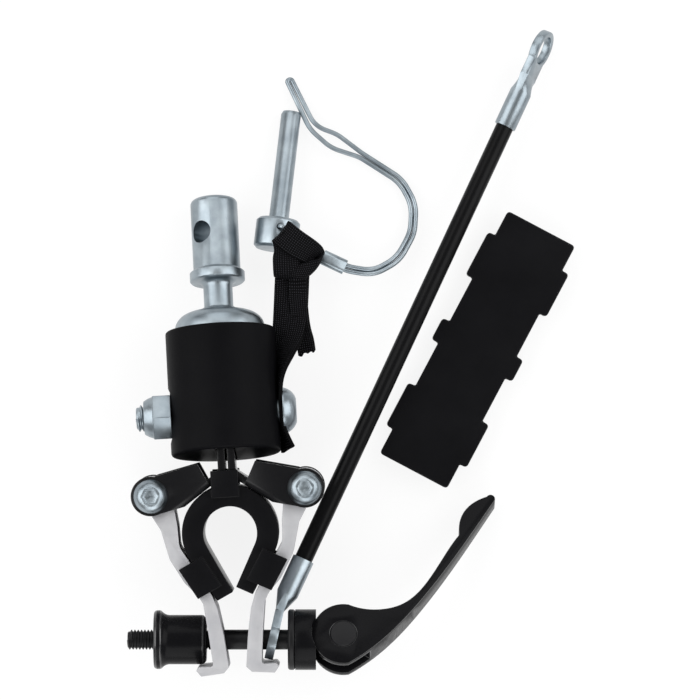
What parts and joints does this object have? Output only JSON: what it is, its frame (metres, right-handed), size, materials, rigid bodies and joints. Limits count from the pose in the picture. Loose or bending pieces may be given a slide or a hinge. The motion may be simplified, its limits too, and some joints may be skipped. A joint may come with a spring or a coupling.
{
  "type": "bike trailer hitch",
  "caption": "Quick-release frame clamp for a bike trailer, with a swinging ball-stud housing, wire lock pin, safety cable and spare liner.",
  "frame": {"origin": "centre of the clamped tube, halfway through the clamp", "axes": "+Z along the clamped tube, +Y from the tube to the stud, +X to the lever's side"},
  "size_m": [0.1415, 0.1909, 0.0386],
  "materials": {
    "black_metal": "satin black",
    "black_sheet": "satin black",
    "zinc": "bright zinc plate",
    "nylon": "matt",
    "bare_aluminium": "sawn and tumbled",
    "rubber": "satin moulded",
    "black_steel": "black oxide",
    "black_plastic": "semi-gloss",
    "sheath": "semi-gloss",
    "webbing": "woven"
  },
  "bodies": {
    "clamp_frame": {"yoke_left": "black_sheet", "yoke_right": "black_sheet", "pivot_screw_left": "zinc", "pivot_screw_right": "zinc", "pivot_nut_left": "zinc", "pivot_nut_right": "zinc", "clamp_liner": "rubber", "spare_liner": "rubber"},
    "housing": {"housing": "black_metal", "retaining_ring": "nylon", "cross_bolt": "zinc", "cross_nut": "zinc", "lock_ring": "nylon", "lanyard": "webbing", "hitch_pin": "zinc"},
    "bearing": {"ball_liner": "nylon"},
    "cap": {"dome_cap": "zinc"},
    "stud": {"ball_stud": "zinc"},
    "left_arm": {"arm_left": "bare_aluminium"},
    "right_arm": {"arm_right": "bare_aluminium"},
    "washer": {"flat_washer": "black_steel"},
    "skewer": {"qr_rod": "black_steel", "lever_pin": "black_steel", "cam_saddle": "black_plastic"},
    "adjust_nut": {"qr_nut": "black_plastic"},
    "lever": {"qr_lever": "black_plastic"},
    "cable": {"cable_eye_lower": "zinc", "cable_sheath": "sheath", "cable_eye_upper": "zinc"},
    "wire_loop": {"pin_wire": "zinc", "wire_ferrule": "zinc"}
  },
  "joints": [
    {"name": "housing_swing", "type": "hinge", "parent": "clamp_frame", "child": "housing", "pos_m": [0, 0.0355, 0], "axis": [1, 0, 0], "range_deg": [0, 17]},
    {"name": "stud_pitch", "type": "hinge", "parent": "housing", "child": "bearing", "pos_m": [0, 0.05924, -0.00355], "axis": [1, 0, 0], "range_deg": [-4, 16]},
    {"name": "stud_yaw", "type": "hinge", "parent": "bearing", "child": "cap", "pos_m": [0, 0.05924, -0.00355], "axis": [0, 0.2487, 0.9686], "range_deg": [-7.5, 10]},
    {"name": "stud_spin", "type": "hinge", "parent": "cap", "child": "stud", "pos_m": [0, 0.05924, -0.00355], "axis": [0, 0.9686, -0.2487], "continuous": true},
    {"name": "left_arm_swing", "type": "hinge", "parent": "clamp_frame", "child": "left_arm", "pos_m": [-0.023, 0.0123, 0], "axis": [0, 0, 1], "range_deg": [-7, 0.5], "deforming": ["clamp_liner"]},
    {"name": "right_arm_swing", "type": "hinge", "parent": "clamp_frame", "child": "right_arm", "pos_m": [0.023, 0.0123, 0], "axis": [0, 0, 1], "range_deg": [-0.5, 7], "deforming": ["clamp_liner"]},
    {"name": "washer_slide", "type": "slide", "parent": "clamp_frame", "child": "washer", "axis": [0.9984, -0.0558, 0], "range_m": [-0.00039, 0.00546]},
    {"name": "skewer_roll", "type": "hinge", "parent": "washer", "child": "skewer", "pos_m": [0.0009, -0.0324, 0], "axis": [0.9984, -0.0558, 0], "continuous": true},
    {"name": "nut_slide", "type": "slide", "parent": "skewer", "child": "adjust_nut", "axis": [0.9984, -0.0558, 0], "range_m": [-0.01095, 0.0008]},
    {"name": "lever_turn", "type": "hinge", "parent": "skewer", "child": "lever", "pos_m": [0.03185, -0.03413, 0], "axis": [0.0214, 0.3821, 0.9239], "range_deg": [-110, 0]},
    {"name": "cable_swing", "type": "hinge", "parent": "washer", "child": "cable", "pos_m": [0.0009, -0.0324, 0], "axis": [0.9984, -0.0558, 0], "range_deg": [0, 80]},
    {"name": "wire_turn", "type": "hinge", "parent": "housing", "child": "wire_loop", "pos_m": [0.01885, 0.09006, -0.01212], "axis": [0.1277, 0.1254, 0.9839], "range_deg": [-60, 0], "deforming": ["lanyard"]}
  ],
  "couplings": [
    {"joint": "left_arm_swing", "follows": "washer_slide", "rad_per_m": -22.371},
    {"joint": "right_arm_swing", "follows": "washer_slide", "rad_per_m": 22.371},
    {"joint": "nut_slide", "follows": "washer_slide", "ratio": -2}
  ]
}
